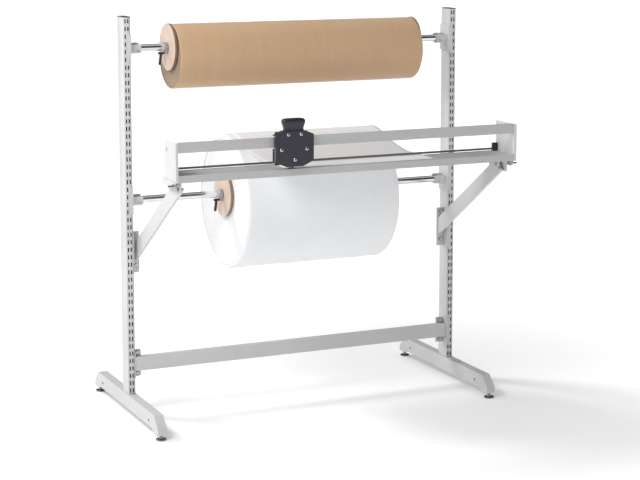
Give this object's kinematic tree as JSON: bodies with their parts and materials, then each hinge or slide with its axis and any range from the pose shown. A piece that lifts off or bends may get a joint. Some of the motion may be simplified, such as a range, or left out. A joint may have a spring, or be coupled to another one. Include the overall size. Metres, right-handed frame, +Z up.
{
  "type": "packing roll stand with cutter",
  "caption": "Free-standing packing stand: slotted uprights on long feet, a kraft paper roll above a foam roll, and a sliding cutter on a rail in front.",
  "frame": {"origin": "middle of the whole object's outline, on the floor", "axes": "+X along the rolls to the right of someone in front of the stand, -Y to the front where the cutter is, +Z up"},
  "size_m": [1.574, 1.07, 1.7003],
  "materials": {
    "paint": "satin",
    "black_plastic": "satin",
    "zinc": "satin",
    "chrome": "polished",
    "wood": "matte",
    "kraft": "matte",
    "core_board": "matte",
    "foam": "matte",
    "aluminium": "satin",
    "charcoal": "satin",
    "nylon": "satin",
    "blade_steel": "polished"
  },
  "bodies": {
    "frame": {"left_upright": "paint", "right_upright": "paint", "left_upright_cap": "black_plastic", "right_upright_cap": "black_plastic", "left_foot_beam": "paint", "right_foot_beam": "paint", "left_rear_lock_nut": "zinc", "left_front_lock_nut": "zinc", "right_rear_lock_nut": "zinc", "right_front_lock_nut": "zinc", "crossbar": "paint", "left_crossbar_bracket": "paint", "right_crossbar_bracket": "paint", "upper_left_rod_holder": "paint", "upper_right_rod_holder": "paint", "lower_left_rod_holder": "paint", "lower_right_rod_holder": "paint", "left_arm": "paint", "right_arm": "paint", "left_arm_bracket": "paint", "right_arm_bracket": "paint", "left_cutter_mount": "paint", "right_cutter_mount": "paint", "left_end_plate": "paint", "right_end_plate": "paint", "upper_rail": "aluminium", "cutting_bed": "aluminium", "film_guide_bar": "black_plastic", "left_bar_holder": "black_plastic", "right_bar_holder": "black_plastic", "foam_web": "foam"},
    "cutter_head": {"cutter_front_shell": "charcoal", "cutter_rear_plate": "charcoal", "blade": "blade_steel", "blade_holder": "aluminium", "upper_glide_shoe": "nylon", "lower_glide_shoe": "nylon", "rear_glide_shoe": "nylon"},
    "upper_rod_assembly": {"upper_rod": "chrome", "upper_left_disc": "wood", "upper_left_collar": "zinc", "upper_right_disc": "wood", "upper_right_collar": "zinc"},
    "upper_left_clamp": {"upper_left_lever": "black_plastic"},
    "upper_right_clamp": {"upper_right_lever": "black_plastic"},
    "lower_rod_assembly": {"lower_rod": "chrome", "lower_left_disc": "wood", "lower_left_collar": "zinc", "lower_right_disc": "wood", "lower_right_collar": "zinc"},
    "lower_left_clamp": {"lower_left_lever": "black_plastic"},
    "lower_right_clamp": {"lower_right_lever": "black_plastic"},
    "kraft_supply": {"kraft_roll": "kraft", "kraft_core": "core_board"},
    "foam_supply": {"foam_roll": "foam", "foam_core": "core_board"},
    "left_rear_foot": {"left_rear_levelling_foot": "zinc"},
    "left_front_foot": {"left_front_levelling_foot": "zinc"},
    "right_rear_foot": {"right_rear_levelling_foot": "zinc"},
    "right_front_foot": {"right_front_levelling_foot": "zinc"}
  },
  "joints": [
    {"name": "cutter_slide", "type": "slide", "parent": "frame", "child": "cutter_head", "axis": [1, 0, 0], "range_m": [-0.39, 0.92]},
    {"name": "upper_rod_spin", "type": "hinge", "parent": "frame", "child": "upper_rod_assembly", "pos_m": [0, 0.105, 1.566], "axis": [1, 0, 0], "continuous": true},
    {"name": "upper_left_lever_turn", "type": "hinge", "parent": "upper_rod_assembly", "child": "upper_left_clamp", "pos_m": [-0.5906, 0.105, 1.541], "axis": [1, 0, 0], "range_deg": [-85, 85]},
    {"name": "upper_right_lever_turn", "type": "hinge", "parent": "upper_rod_assembly", "child": "upper_right_clamp", "pos_m": [0.5926, 0.105, 1.541], "axis": [1, 0, 0], "range_deg": [-85, 85]},
    {"name": "lower_rod_spin", "type": "hinge", "parent": "frame", "child": "lower_rod_assembly", "pos_m": [0, 0.105, 0.926], "axis": [1, 0, 0], "continuous": true},
    {"name": "lower_left_lever_turn", "type": "hinge", "parent": "lower_rod_assembly", "child": "lower_left_clamp", "pos_m": [-0.3426, 0.105, 0.901], "axis": [1, 0, 0], "range_deg": [-85, 85]},
    {"name": "lower_right_lever_turn", "type": "hinge", "parent": "lower_rod_assembly", "child": "lower_right_clamp", "pos_m": [0.4076, 0.105, 0.901], "axis": [1, 0, 0], "range_deg": [-85, 85]},
    {"name": "kraft_roll_spin", "type": "hinge", "parent": "frame", "child": "kraft_supply", "pos_m": [0.001, 0.105, 1.5263], "axis": [1, 0, 0], "continuous": true},
    {"name": "foam_roll_spin", "type": "hinge", "parent": "frame", "child": "foam_supply", "pos_m": [0.0325, 0.105, 0.8926], "axis": [1, 0, 0], "continuous": true},
    {"name": "left_rear_foot_turn", "type": "hinge", "parent": "frame", "child": "left_rear_foot", "pos_m": [-0.765, 0.513, 0.03], "axis": [0, 0, 1], "continuous": true},
    {"name": "left_front_foot_turn", "type": "hinge", "parent": "frame", "child": "left_front_foot", "pos_m": [-0.765, -0.303, 0.03], "axis": [0, 0, 1], "continuous": true},
    {"name": "right_rear_foot_turn", "type": "hinge", "parent": "frame", "child": "right_rear_foot", "pos_m": [0.765, 0.513, 0.03], "axis": [0, 0, 1], "continuous": true},
    {"name": "right_front_foot_turn", "type": "hinge", "parent": "frame", "child": "right_front_foot", "pos_m": [0.765, -0.303, 0.03], "axis": [0, 0, 1], "continuous": true}
  ]
}
